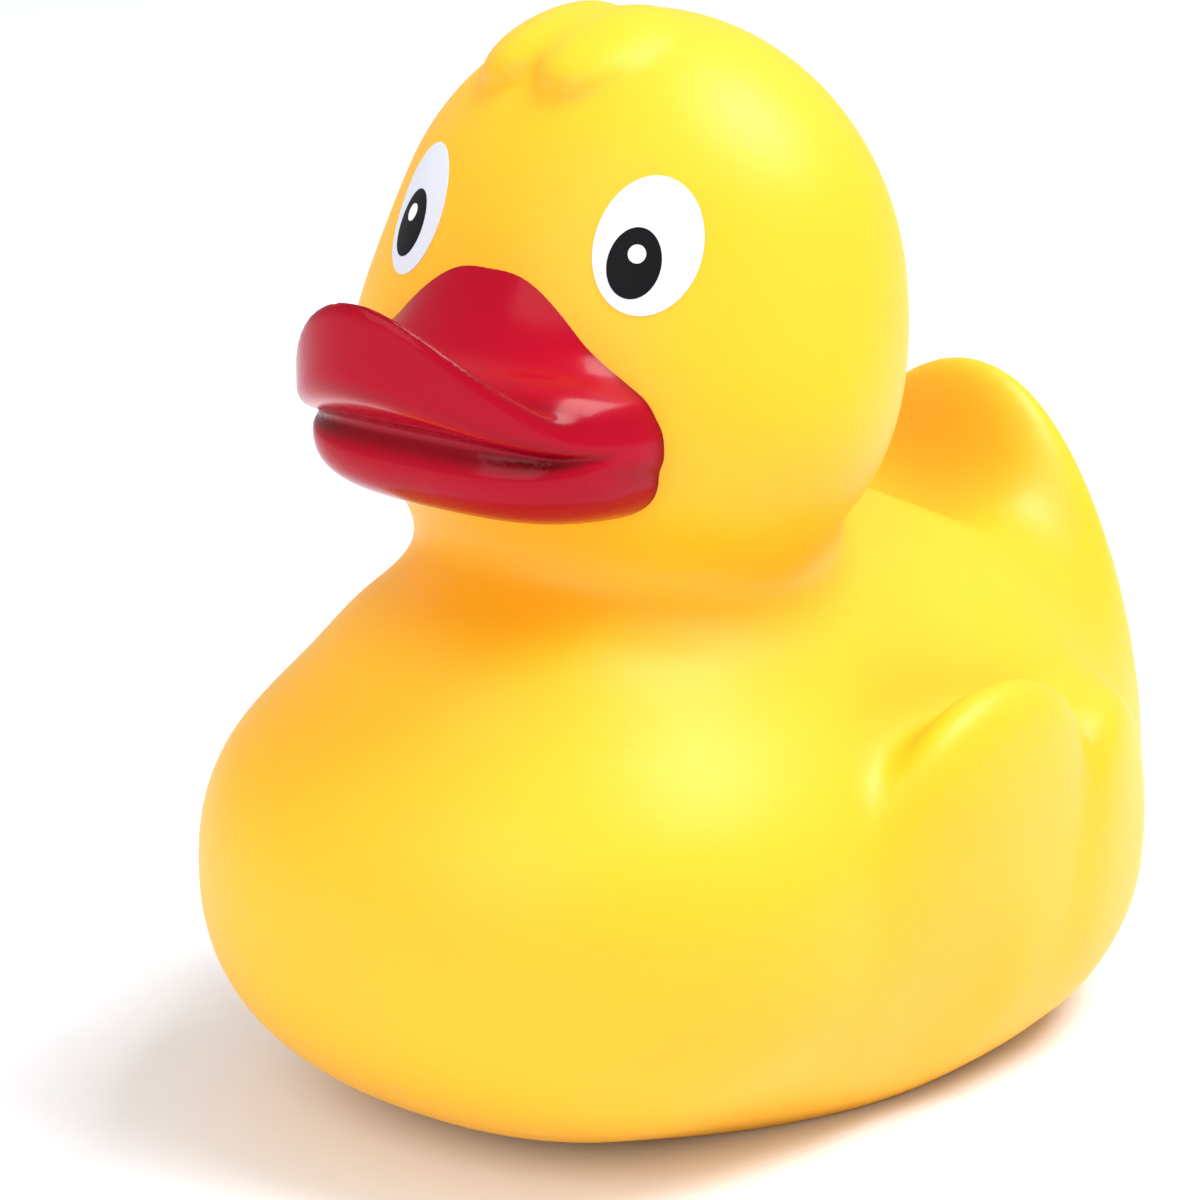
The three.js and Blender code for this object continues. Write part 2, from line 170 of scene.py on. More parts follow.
@dataclass(frozen=True)
class SurfaceNet:
    """Turns a field into a mesh of even quads whose corners lie on its skin."""

    low: Triple
    high: Triple
    cell: float
    block: int = 4
    settle_steps: int = 3
    settle_limit: float = 0.6

    def mesh(self, shape: Field) -> tuple[np.ndarray, np.ndarray]:
        """Walks the grid and nets the skin.

        Args:
            shape: The field, in millimetres.

        Returns:
            The corners, and four corner numbers for each face, turning so that it faces out.
        """
        axes = [
            low + self.cell * np.arange(self._count(low, high))
            for low, high in zip(self.low, self.high)
        ]
        depth = self._sampled(shape, axes)
        inside = depth < 0
        cells = tuple(n - 1 for n in depth.shape)
        corners = [(i, j, k) for i in (0, 1) for j in (0, 1) for k in (0, 1)]

        def at(grid: np.ndarray, corner: tuple[int, int, int]) -> np.ndarray:
            """One corner's value for every cell."""
            i, j, k = corner
            return grid[i : i + cells[0], j : j + cells[1], k : k + cells[2]]

        filled = sum(at(inside, corner).astype(np.int8) for corner in corners)
        active = (filled > 0) & (filled < len(corners))
        number = np.full(cells, -1)
        number[active] = np.arange(int(active.sum()))
        where = np.stack(np.nonzero(active), 1)
        values = {corner: at(depth, corner)[active] for corner in corners}
        total = np.zeros((len(where), 3))
        crossings = np.zeros(len(where))
        for start in corners:
            for axis in range(3):
                if start[axis]:
                    continue
                end = tuple(1 if a == axis else c for a, c in enumerate(start))
                a, b = values[start], values[end]
                cut = (a < 0) != (b < 0)
                share = np.where(cut, a / np.where(cut, a - b, 1), 0)
                place = np.tile(np.array(start, float), (len(where), 1))
                place[:, axis] += share
                total += place * cut[:, None]
                crossings += cut
        points = np.array(self.low) + self.cell * (where + total / crossings[:, None])
        return self._settled(shape, points), self._faces(inside, number)

    def _count(self, low: float, high: float) -> int:
        """How many grid lines span a side, in whole blocks."""
        blocks = math.ceil((high - low) / (self.cell * self.block))
        return blocks * self.block

    def _sampled(self, shape: Field, axes: list[np.ndarray]) -> np.ndarray:
        """Reads the field in full near the skin and once for each block elsewhere.

        Args:
            shape: The field.
            axes: The grid's lines along x, y and z.

        Returns:
            The field at each grid point.
        """
        coarse_axes = [axis.reshape(-1, self.block).mean(1) for axis in axes]
        coarse = shape(self._points(coarse_axes)).reshape([len(a) for a in coarse_axes])
        fine = coarse
        for side in range(3):
            fine = np.repeat(fine, self.block, axis=side)
        near = np.abs(fine) < 1.8 * self.cell * self.block
        points = np.stack(
            [axis[index] for axis, index in zip(axes, np.nonzero(near))], 1
        )
        fine = fine.copy()
        fine[near] = shape(points)
        return fine

    @staticmethod
    def _points(axes: list[np.ndarray]) -> np.ndarray:
        """Every grid point, one to a row."""
        return np.stack(np.meshgrid(*axes, indexing="ij"), -1).reshape(-1, 3)

    def _settled(self, shape: Field, points: np.ndarray) -> np.ndarray:
        """Slides the corners on to the skin, each by less than a cell.

        Args:
            shape: The field.
            points: The corners.

        Returns:
            The corners on the skin.
        """
        start = points
        limit = self.settle_limit * self.cell
        for _ in range(self.settle_steps):
            slope = gradient(shape, points)
            steep = np.maximum((slope**2).sum(1), 0.05)
            points = points - slope * (shape(points) / steep)[:, None]
            points = start + np.clip(points - start, -limit, limit)
        return points

    @staticmethod
    def _faces(inside: np.ndarray, number: np.ndarray) -> np.ndarray:
        """Joins the four cells round each grid edge that the skin crosses.

        Args:
            inside: Which grid points are inside.
            number: Each cell's corner number.

        Returns:
            Four corner numbers for each face.
        """
        found = []
        for axis in range(3):
            u, v = (axis + 1) % 3, (axis + 2) % 3
            ahead = np.roll(inside, -1, axis=axis)
            cut = inside != ahead
            trim = [slice(1, -1)] * 3
            trim[axis] = slice(0, -1)
            mask = np.zeros_like(cut)
            mask[tuple(trim)] = cut[tuple(trim)]
            base = np.stack(np.nonzero(mask), 1)
            ring = []
            for du, dv in ((-1, -1), (0, -1), (0, 0), (-1, 0)):
                cell = base.copy()
                cell[:, u] += du
                cell[:, v] += dv
                ring.append(number[tuple(cell.T)])
            quads = np.stack(ring, 1)
            out = inside[tuple(base.T)]
            found.append(np.where(out[:, None], quads, quads[:, ::-1]))
        return np.concatenate(found)


def gradient(shape: Field, points: np.ndarray, step: float = 0.02) -> np.ndarray:
    """Finds which way and how fast a field grows.

    Args:
        shape: The field.
        points: Where to measure.
        step: How far apart the two readings lie.

    Returns:
        One vector for each point.
    """
    slope = np.empty_like(points)
    for axis in range(3):
        offset = np.zeros(3)
        offset[axis] = step
        slope[:, axis] = (shape(points + offset) - shape(points - offset)) / (2 * step)
    return slope


def mesh_object(name: str, points: np.ndarray, faces: np.ndarray) -> bpy.types.Object:
    """Makes a smooth-shaded object from corners in millimetres.

    Args:
        name: The object's name.
        points: The corners.
        faces: Four corner numbers for each face.

    Returns:
        The object, at the origin, in metres.
    """
    mesh = bpy.data.meshes.new(name)
    mesh.vertices.add(len(points))
    mesh.vertices.foreach_set("co", (points * MM).astype(np.float32).ravel())
    mesh.loops.add(faces.size)
    mesh.loops.foreach_set("vertex_index", faces.astype(np.int32).ravel())
    mesh.polygons.add(len(faces))
    mesh.polygons.foreach_set("loop_start", np.arange(len(faces), dtype=np.int32) * 4)
    mesh.update(calc_edges=True)
    mesh.shade_smooth()
    made = bpy.data.objects.new(name, mesh)
    bpy.context.scene.collection.objects.link(made)
    return made


# ---------------------------------------------------------------- shader tools


class Flow:
    """A number that runs through a shader. Arithmetic on it adds Math nodes."""

    def __init__(self, maker: "NodeMaker", socket: bpy.types.NodeSocket) -> None:
        """Wraps a socket of the maker's tree."""
        self.maker = maker
        self.socket = socket

    def __add__(self, other: "Flow | float") -> "Flow":
        """Adds."""
        return self.maker.maths("ADD", self, other)

    def __radd__(self, other: float) -> "Flow":
        """Adds to a plain number."""
        return self.maker.maths("ADD", other, self)

    def __sub__(self, other: "Flow | float") -> "Flow":
        """Subtracts."""
        return self.maker.maths("SUBTRACT", self, other)

    def __rsub__(self, other: float) -> "Flow":
        """Subtracts from a plain number."""
        return self.maker.maths("SUBTRACT", other, self)

    def __mul__(self, other: "Flow | float") -> "Flow":
        """Multiplies."""
        return self.maker.maths("MULTIPLY", self, other)

    def __rmul__(self, other: float) -> "Flow":
        """Multiplies a plain number."""
        return self.maker.maths("MULTIPLY", other, self)

    def clamped(self) -> "Flow":
        """Holds the number between 0 and 1."""
        return self.maker.maths("ADD", self, 0.0, clamp=True)


class NodeMaker:
    """Adds nodes to one tree and links them."""

    def __init__(self, tree: bpy.types.NodeTree) -> None:
        """Starts on an empty tree."""
        self.tree = tree
        tree.nodes.clear()

    def add(
        self,
        kind: str,
        settings: dict[str, Any] | None = None,
        inputs: dict[str | int, Any] | None = None,
    ) -> bpy.types.Node:
        """Makes one node.

        Args:
            kind: The node's type.
            settings: Its own settings, set first.
            inputs: Values or links, by socket name or number.

        Returns:
            The node.
        """
        node = self.tree.nodes.new(kind)
        for name, value in (settings or {}).items():
            setattr(node, name, value)
        for name, value in (inputs or {}).items():
            socket = node.inputs[name]
            if isinstance(value, Flow):
                value = value.socket
            if isinstance(value, bpy.types.NodeSocket):
                self.tree.links.new(value, socket)
            else:
                socket.default_value = value
        return node

    def flow(
        self,
        kind: str,
        settings: dict[str, Any] | None = None,
        inputs: dict[str | int, Any] | None = None,
        output: str | int = 0,
    ) -> Flow:
        """Makes one node and wraps one of its outputs."""
        return Flow(self, self.add(kind, settings, inputs).outputs[output])

    def maths(
        self, operation: str, first: Flow | float, second: Flow | float, clamp: bool = False
    ) -> Flow:
        """Makes one Math node."""
        return self.flow(
            "ShaderNodeMath",
            {"operation": operation, "use_clamp": clamp},
            {0: first, 1: second},
        )

    def mixed(self, share: Flow, first: Any, second: Any) -> bpy.types.NodeSocket:
        """Mixes two colours.

        Args:
            share: How much of the second.
            first: A colour or a link.
            second: A colour or a link.

        Returns:
            The colour's socket.
        """
        node = self.add("ShaderNodeMix", {"data_type": "RGBA"}, {0: share, 6: first, 7: second})
        return node.outputs[2]


@dataclass(frozen=True)
class Surface:
    """A Principled material whose fixed numbers sit on the shader's own sockets."""

    name: str
    sockets: dict[str, Any]

    def start(self) -> tuple[bpy.types.Material, NodeMaker, bpy.types.Node]:
        """Makes the material with its shader linked to the output.

        Returns:
            The material, its node maker and its Principled node.
        """
        material = bpy.data.materials.new(self.name)
        material.use_nodes = True
        maker = NodeMaker(material.node_tree)
        shader = maker.add("ShaderNodeBsdfPrincipled", None, self.sockets)
        maker.add("ShaderNodeOutputMaterial", None, {"Surface": shader.outputs[0]})
        return material, maker, shader


def set_input(maker: NodeMaker, node: bpy.types.Node, name: str, value: Any) -> None:
    """Links or sets one socket of a node that is already there."""
    if isinstance(value, Flow):
        value = value.socket
    if isinstance(value, bpy.types.NodeSocket):
        maker.tree.links.new(value, node.inputs[name])
    else:
        node.inputs[name].default_value = value


# ---------------------------------------------------------------- finishes


@dataclass(frozen=True)
class VinylFinish:
    """Satin vinyl, lemon yellow, with painted shade: golden where the occlusion mask marks hollows and
    creases.
    """

    lemon: Colour = (0.93, 0.46, 0.013, 1.0)
    # painted shade: this golden colour stands in for the shade and warm bounce light in hollows
    painted_shade_gold: Colour = (0.93, 0.33, 0.003, 1.0)
    painted_shade_share: float = 0.42
    drift_share: float = 0.06
    drift_scale: float = 55.0
    roughness: float = 0.46
    roughness_drift: float = 0.06
    grain_scale: float = 2600.0
    grain_height: float = 0.000012
    swell_scale: float = 240.0
    swell_height: float = 0.00003

    def material(self) -> bpy.types.Material:
        """Builds the node material."""
        material, maker, shader = Surface(
            "yellow_vinyl",
            {
                "Subsurface Weight": 0.22,
                "Subsurface Radius": (1.0, 0.55, 0.12),
                "Subsurface Scale": 0.0035,
                "Specular IOR Level": 0.32,
            },
        ).start()
        place = maker.add("ShaderNodeTexCoord").outputs["Object"]
        drift = maker.flow(
            "ShaderNodeTexNoise", None, {"Vector": place, "Scale": self.drift_scale, "Detail": 2.0}
        )
        hollow = maker.flow(
            "ShaderNodeAttribute", {"attribute_name": Casting.SHADE_MASK}, output="Fac"
        )
        # painted shade: the occlusion mask mixes in the golden shade colour, plus a small random drift
        share = (hollow * self.painted_shade_share + (drift - 0.5) * self.drift_share).clamped()
        set_input(maker, shader, "Base Color", maker.mixed(share, self.lemon, self.painted_shade_gold))
        grain = maker.flow(
            "ShaderNodeTexNoise", None, {"Vector": place, "Scale": self.grain_scale, "Detail": 2.0}
        )
        swell = maker.flow(
            "ShaderNodeTexNoise", None, {"Vector": place, "Scale": self.swell_scale, "Detail": 1.0}
        )
        rough = (drift - 0.5) * self.roughness_drift + (grain - 0.5) * self.roughness_drift
        set_input(maker, shader, "Roughness", rough + self.roughness)
        height = grain * self.grain_height + swell * self.swell_height
        bump = maker.add("ShaderNodeBump", None, {"Height": height, "Distance": 1.0, "Strength": 1.0})
        set_input(maker, shader, "Normal", bump.outputs[0])
        return material


@dataclass(frozen=True)
class LacquerFinish:
    """Glossy red paint, with painted shade: darker red in the mouth and other hollows, by the occlusion
    mask.
    """

    red: Colour = (0.38, 0.0004, 0.014, 1.0)
    # painted shade: the dark red that the occlusion mask mixes in
    painted_shade_red: Colour = (0.12, 0.0002, 0.002, 1.0)
    drift_scale: float = 90.0
    roughness: float = 0.2
    roughness_drift: float = 0.06
    swell_scale: float = 420.0
    swell_height: float = 0.00002

    def material(self) -> bpy.types.Material:
        """Builds the node material."""
        material, maker, shader = Surface(
            "red_lacquer",
            {
                "Specular IOR Level": 0.11,
                "Coat Weight": 0.05,
                "Coat Roughness": 0.1,
                "Subsurface Weight": 0.0,
            },
        ).start()
        place = maker.add("ShaderNodeTexCoord").outputs["Object"]
        drift = maker.flow(
            "ShaderNodeTexNoise", None, {"Vector": place, "Scale": self.drift_scale, "Detail": 2.0}
        )
        hollow = maker.flow(
            "ShaderNodeAttribute", {"attribute_name": Casting.SHADE_MASK}, output="Fac"
        )
        # painted shade: darker red where the occlusion mask marks hollows
        share = (hollow + (drift - 0.5) * 0.1).clamped()
        set_input(maker, shader, "Base Color", maker.mixed(share, self.red, self.painted_shade_red))
        set_input(
            maker, shader, "Roughness", (drift - 0.5) * self.roughness_drift + self.roughness
        )
        swell = maker.flow(
            "ShaderNodeTexNoise", None, {"Vector": place, "Scale": self.swell_scale, "Detail": 1.0}
        )
        bump = maker.add(
            "ShaderNodeBump",
            None,
            {"Height": swell * self.swell_height, "Distance": 1.0, "Strength": 1.0},
        )
        set_input(maker, shader, "Normal", bump.outputs[0])
        return material


@dataclass(frozen=True)
class InkFinish:
    """Pad-printed ink with a fine stipple."""

    name: str
    colour: Colour
    stipple: Colour
    roughness: float = 0.35
    specular: float = 0.45
    stipple_scale: float = 3500.0
    stipple_height: float = 0.000006

    def material(self) -> bpy.types.Material:
        """Builds the node material."""
        material, maker, shader = Surface(self.name, {"Specular IOR Level": self.specular}).start()
        place = maker.add("ShaderNodeTexCoord").outputs["Object"]
        stipple = maker.flow(
            "ShaderNodeTexNoise",
            None,
            {"Vector": place, "Scale": self.stipple_scale, "Detail": 1.0},
        )
        set_input(maker, shader, "Base Color", maker.mixed(stipple, self.colour, self.stipple))
        set_input(maker, shader, "Roughness", (stipple - 0.5) * 0.1 + self.roughness)
        bump = maker.add(
            "ShaderNodeBump",
            None,
            {"Height": stipple * self.stipple_height, "Distance": 1.0, "Strength": 1.0},
        )
        set_input(maker, shader, "Normal", bump.outputs[0])
        return material


@dataclass(frozen=True)
class PlasticFinish:
    """Moulded matt plastic with a faint spark-eroded texture."""

    name: str
    colour: Colour
    shaded: Colour
    roughness: float = 0.5
    texture_scale: float = 1800.0
    texture_height: float = 0.00002

    def material(self) -> bpy.types.Material:
        """Builds the node material."""
        material, maker, shader = Surface(self.name, {"Specular IOR Level": 0.4}).start()
        place = maker.add("ShaderNodeTexCoord").outputs["Object"]
        texture = maker.flow(
            "ShaderNodeTexNoise",
            None,
            {"Vector": place, "Scale": self.texture_scale, "Detail": 3.0},
        )
        set_input(maker, shader, "Base Color", maker.mixed(texture, self.colour, self.shaded))
        set_input(maker, shader, "Roughness", (texture - 0.5) * 0.15 + self.roughness)
        bump = maker.add(
            "ShaderNodeBump",
            None,
            {"Height": texture * self.texture_height, "Distance": 1.0, "Strength": 1.0},
        )
        set_input(maker, shader, "Normal", bump.outputs[0])
        return material


@dataclass(frozen=True)
class FloorFinish:
    """Plain white studio paper with a barely visible fibre."""

    paper: Colour = (0.85, 0.88, 0.94, 1.0)
    fibre: Colour = (0.83, 0.86, 0.92, 1.0)

    def material(self) -> bpy.types.Material:
        """Builds the node material."""
        material, maker, shader = Surface(
            "studio_paper", {"Roughness": 0.9, "Specular IOR Level": 0.1}
        ).start()
        place = maker.add("ShaderNodeTexCoord").outputs["Object"]
        fibre = maker.flow(
            "ShaderNodeTexNoise", None, {"Vector": place, "Scale": 300.0, "Detail": 2.0}
        )
        set_input(maker, shader, "Base Color", maker.mixed(fibre, self.paper, self.fibre))
        return material


# ---------------------------------------------------------------- the duck


@dataclass(frozen=True)
class Torso:
    """Breast, rump, back and upturned tail."""

    breast: Mass = Mass((0, -17.3, 21.3), (32.05, 32.05, 22.3), 2.3)
    rump: Mass = Mass((0, 5.5, 15.8), (33.35, 40.3, 21.6), 2.3)
    back: Mass = Mass((0, 10.4, 28.0), (25.4, 32.75, 21.3))
    tail: Mass = Mass((0, 40.0, 27.8), (16.9, 6.9, 27.3), tilt=-2)
    scoop: Mass = Mass((0, 28.2, 56.0), (11.0, 7.0, 14.0), tilt=-6)
    dent: Mass = Mass((38.5, -6.8, 9.0), (6.5, 7.0, 15.0))
    neck: Mass = Mass((0, -14.5, 40.3), (18.4, 21.6, 9.8))
    rump_blend: float = 4.0
    back_blend: float = 8.8
    tail_blend: float = 12.1
    scoop_blend: float = 7.0
    dent_blend: float = 6.0
    neck_blend: float = 12.1

    def field(self, points: np.ndarray) -> np.ndarray:
        """Distance to the trunk without wings or neck."""
        solid = join(self.breast.distance(points), self.rump.distance(points), self.rump_blend)
        solid = join(solid, self.back.distance(points), self.back_blend)
        solid = join(solid, self.tail.distance(points), self.tail_blend)
        solid = carve(solid, self.scoop.distance(points), self.scoop_blend)
        return carve(solid, self.dent.distance(mirrored(points)), self.dent_blend)


@dataclass(frozen=True)
class Wing:
    """A folded wing: a broad shoulder and a plume behind it, alike on both sides."""

    shoulder: Mass = Mass((29.6, -0.3, 24.0), (5.0, 15.5, 15.0), 2.1, roll=-9)
    plume: Mass = Mass((25.9, 19.6, 18.6), (5.6, 11.1, 14.0), 2.3, yaw=24, roll=-12)
    notch: float = 1.2
    blend: float = 3.6

    def field(self, points: np.ndarray) -> np.ndarray:
        """Distance to both wings."""
        side = mirrored(points)
        return join(self.shoulder.distance(side), self.plume.distance(side), self.notch)


@dataclass(frozen=True)
class Head:
    """Skull, back of the head, cheeks and the tuft on the crown."""

    skull: Mass = Mass((0, -8.6, 69.8), (23.9, 20.2, 24.8))
    occiput: Mass = Mass((0, -7.8, 66.8), (20.3, 21.9, 22.1))
    cheeks: Mass = Mass((0, -13.8, 61.9), (24.7, 16.5, 14.9))
    tuft: Mass = Mass((1.0, -14.8, 91.9), (5.2, 7.2, 2.5), tilt=17, roll=-3)
    side_tuft: Mass = Mass((-6.2, -13.8, 91.6), (5.0, 7.2, 2.6), tilt=15, roll=17)
    occiput_blend: float = 3.0
    cheek_blend: float = 8.0
    tuft_blend: float = 1.2
    crest_blend: float = 1.2
    neck_blend: float = 7.0

    def bare(self, points: np.ndarray) -> np.ndarray:
        """Distance to the head without its tuft."""
        ball = join(self.skull.distance(points), self.occiput.distance(points), self.occiput_blend)
        return join(ball, self.cheeks.distance(points), self.cheek_blend)

    def crest(self, points: np.ndarray) -> np.ndarray:
        """Distance to the two small feathers on the crown."""
        return join(self.tuft.distance(points), self.side_tuft.distance(points), self.tuft_blend)


@dataclass(frozen=True)
class Beak:
    """The bill: a saddle with an upturned rim over a full lower lip, parted by a mouth."""

    half_width: float = 16.1
    reach: float = 20.4
    corner_y: float = -26.1
    root_y: float = -29.2
    back_y: float = -12.8
    rim_z: float = 63.6
    rim_rise: float = 14.6
    rim_top: float = 78.3
    lip_z: float = 61.9
    lip_rise: float = 6.2
    sweep: float = 2.5
    arch: float = 12.5
    dip: float = 1.6
    bead: float = 0.6
    ridge_z: float = 62.2
    ridge_drop: float = 2.0
    valley: float = 0.9
    lower: Mass = Mass((0, -23.8, 61.7), (16.3, 16.2, 7.2), 3.2, tilt=-5)
    cell: float = 0.42

    def field(self, points: np.ndarray) -> np.ndarray:
        """Measures from the bill's skin.

        Args:
            points: Places in millimetres, one to a row.

        Returns:
            About how far each lies outside.
        """
        x, y, z = np.abs(points[:, 0]), points[:, 1], points[:, 2]
        forward = np.maximum(self.corner_y - y, 0)
        share = np.minimum(forward / self.reach, 1)
        side = self._plan(x, forward)
        width = self.half_width * np.sqrt(np.maximum(1 - share**2, 0.01))
        across = np.minimum(x / width, 1) ** 2.5
        rim = np.minimum(self.rim_z + self.rim_rise * share**self.sweep, self.rim_top)
        root = self.root_y + (self.corner_y - self.root_y) * np.minimum(x / self.half_width, 1) ** 2
        along = np.clip((root - y) / (root + self.reach - self.corner_y), -0.2, 1)
        lift = self.arch * (1 - along) ** 2 - 4 * self.dip * along * (1 - along)
        top = rim + lift * (1 - across) - self.bead * ease(0.6, 2.2, -side)
        lip = self.lip_z + self.lip_rise * share**self.sweep
        upper = keep(side, (z - top) * 0.85, 1.3 + 1.9 * share**2)
        upper = keep(upper, lip - z, 0.8 + 0.8 * share)
        lower = self._pressed(points, share, lip)
        bill = join(upper, lower, 0.8 + 1.4 * (1 - ease(0.12, 0.42, share)))
        return keep(bill, y - self.back_y, 1.0)

    def _pressed(self, points: np.ndarray, share: np.ndarray, lip: np.ndarray) -> np.ndarray:
        """Distance to the lower bill, pressed in between its ridge and the lip above it.

        Args:
            points: Places in millimetres, one to a row.
            share: How far along the bill each lies, from the mouth's corners to the tip.
            lip: The height of the upper bill's lower edge there.

        Returns:
            About how far each lies outside.
        """
        solid = self.lower.distance(points)
        ridge = self.ridge_z - self.ridge_drop * share**3
        half = np.maximum((lip - ridge) * 0.5 + 0.2, 0.3)
        middle = (lip + ridge) * 0.5 + 0.4
        opened = ease(0.2, 0.5, share) * (1 - 0.5 * ease(0.75, 0.95, share))
        press = self.valley * opened * np.exp(-(((points[:, 2] - middle) / half) ** 2))
        return solid + press * ease(-3, -0.5, solid)

    def _plan(self, x: np.ndarray, forward: np.ndarray) -> np.ndarray:
        """Distance to the bill's outline as seen from above."""
        reach = np.hypot(x / self.half_width, forward / self.reach)
        slope = np.hypot(x / self.half_width**2, forward / self.reach**2)
        return reach * (reach - 1) / np.maximum(slope, 1e-6)

    def build(self) -> bpy.types.Object:
        """Makes the bill as one closed piece that runs on into the head."""
        low = (-self.half_width - 1.5, self.corner_y - self.reach - 3.5, self.lip_z - 10.5)
        high = (self.half_width + 1.5, self.back_y + 1.5, self.rim_top + 7.0)
        points, faces = SurfaceNet(low, high, self.cell).mesh(lambda p: self.field(p) + SHRINK)
        return mesh_object("beak", points, faces)


@dataclass(frozen=True)
class Seat:
    """The round recess under the duck that takes the squeaker."""

    radius: float = 8.0
    chamfer: float = 0.5
    depth: float = 1.8
    hole_radius: float = 5.6
    floor: float = 3.0
    pocket_radius: float = 7.4
    pocket_top: float = 15.0
    segments: int = 96

    def profile(self) -> list[tuple[float, float]]:
        """The recess's outline as radius and height, from its mouth to its roof."""
        return [
            (self.radius + self.chamfer, 0.0),
            (self.radius, self.chamfer),
            (self.radius, self.depth),
            (self.hole_radius, self.depth),
            (self.hole_radius, self.floor),
            (self.pocket_radius, self.floor + self.chamfer),
            (self.pocket_radius, self.pocket_top),
            (0.0, self.pocket_top),
        ]

    def cut(self, bm: bmesh.types.BMesh) -> None:
        """Closes a body that is open at z = 0 with a base and this recess.

        Args:
            bm: The body's mesh, in metres, whose only open edge lies in the base plane.
        """
        outer = [edge for edge in bm.edges if edge.is_boundary]
        rings = []
        for radius, height in self.profile()[:-1]:
            ring = []
            for i in range(self.segments):
                turn = math.tau * i / self.segments
                place = (radius * MM * math.cos(turn), radius * MM * math.sin(turn), height * MM)
                ring.append(bm.verts.new(place))
            rings.append(ring)
        mouth = [
            bm.edges.new((rings[0][i], rings[0][(i + 1) % self.segments]))
            for i in range(self.segments)
        ]
        base = bmesh.ops.triangle_fill(
            bm, use_beauty=True, use_dissolve=False, edges=outer + mouth, normal=(0, 0, -1)
        )
        flat = [f for f in base["geom"] if isinstance(f, bmesh.types.BMFace)]
        for lower, upper in zip(rings, rings[1:]):
            for i in range(self.segments):
                j = (i + 1) % self.segments
                flat.append(bm.faces.new((lower[j], lower[i], upper[i], upper[j])))
        flat.append(bm.faces.new(list(reversed(rings[-1]))))
        for face in flat:
            face.smooth = False
        for face in flat:
            if face.calc_center_median().z < 1e-6 and face.normal.z > 0:
                face.normal_flip()


@dataclass
class Casting:
    """The hollow vinyl body and the bill that is painted on its front."""

    torso: Torso = field(default_factory=Torso)
    wing: Wing = field(default_factory=Wing)
    head: Head = field(default_factory=Head)
    beak: Beak = field(default_factory=Beak)
    seat: Seat = field(default_factory=Seat)
    cell: float = 0.8
    quick_cell: float = 1.4
    # reach and gain of the occlusion mask that paints shade into the colours
    hollow_reach: float = 7.0
    beak_reach: float = 2.4
    hollow_gain: float = 1.4

    # name of the attribute that holds the painted-shade mask
    SHADE_MASK = "hollow"

    def skin(self, points: np.ndarray) -> np.ndarray:
        """Distance to the yellow body."""
        body = join(self.torso.field(points), self.wing.field(points), self.wing.blend)
        body = join(body, self.torso.neck.distance(points), self.torso.neck_blend)
        body = join(body, self.head.bare(points), self.head.neck_blend)
        return join(body, self.head.crest(points), self.head.crest_blend) + SHRINK

    def whole(self, points: np.ndarray) -> np.ndarray:
        """Distance to the body and the bill together."""
        return np.minimum(self.skin(points), self.beak.field(points))

    def build_body(self) -> bpy.types.Object:
        """Makes the yellow body, flat underneath, with the squeaker's recess."""
        cell = self.cell
        net = SurfaceNet((-37.5, -51.0, -3.3), (37.5, 51.5, 97.5), cell)
        made = mesh_object("duck_skin", *net.mesh(self.skin))
        bm = bmesh.new()
        bm.from_mesh(made.data)
        parts = bm.verts[:] + bm.edges[:] + bm.faces[:]
        bmesh.ops.bisect_plane(
            bm, geom=parts, dist=1e-7, plane_co=(0, 0, 0), plane_no=(0, 0, 1), clear_inner=True
        )
        self.seat.cut(bm)
        bm.to_mesh(made.data)
        bm.free()
        self._note_painted_shade(made, self.hollow_reach)
        return made

    def build_beak(self) -> bpy.types.Object:
        """Makes the bill."""
        made = self.beak.build()
        self._note_painted_shade(made, self.beak_reach)
        return made

    def _note_painted_shade(self, made: bpy.types.Object, reach: float) -> None:
        """Stores how closed in each corner is, as the mask for painted shade in the creases.

        Args:
            made: The piece.
            reach: How far out from the skin the form is felt, in millimetres.
        """
        mesh = made.data
        places = np.zeros(len(mesh.vertices) * 3, np.float32)
        mesh.vertices.foreach_get("co", places)
        points = places.reshape(-1, 3).astype(float) / MM
        slope = gradient(self.whole, points)
        normal = slope / np.maximum(np.linalg.norm(slope, axis=1, keepdims=True), 1e-6)
        closed = np.zeros(len(points))
        for share in (0.5, 1.0, 2.0):
            out = self.whole(points + normal * reach * share)
            closed += np.clip(1 - out / (reach * share), 0, 1) / 3
        noted = mesh.attributes.new(self.SHADE_MASK, "FLOAT", "POINT")
        noted.data.foreach_set("value", np.clip(closed * self.hollow_gain, 0, 1).astype(np.float32))


class Side(Enum):
    """Which eye."""

    LEFT = "left"
    RIGHT = "right"


@dataclass(frozen=True)
class Print:
    """One layer of ink: an egg-shaped patch laid on the head."""

    part: str
    centre: Triple
    half_width: float
    half_height: float
    egg: float
    lean: float
    lift: float
    depth: float = 0.35


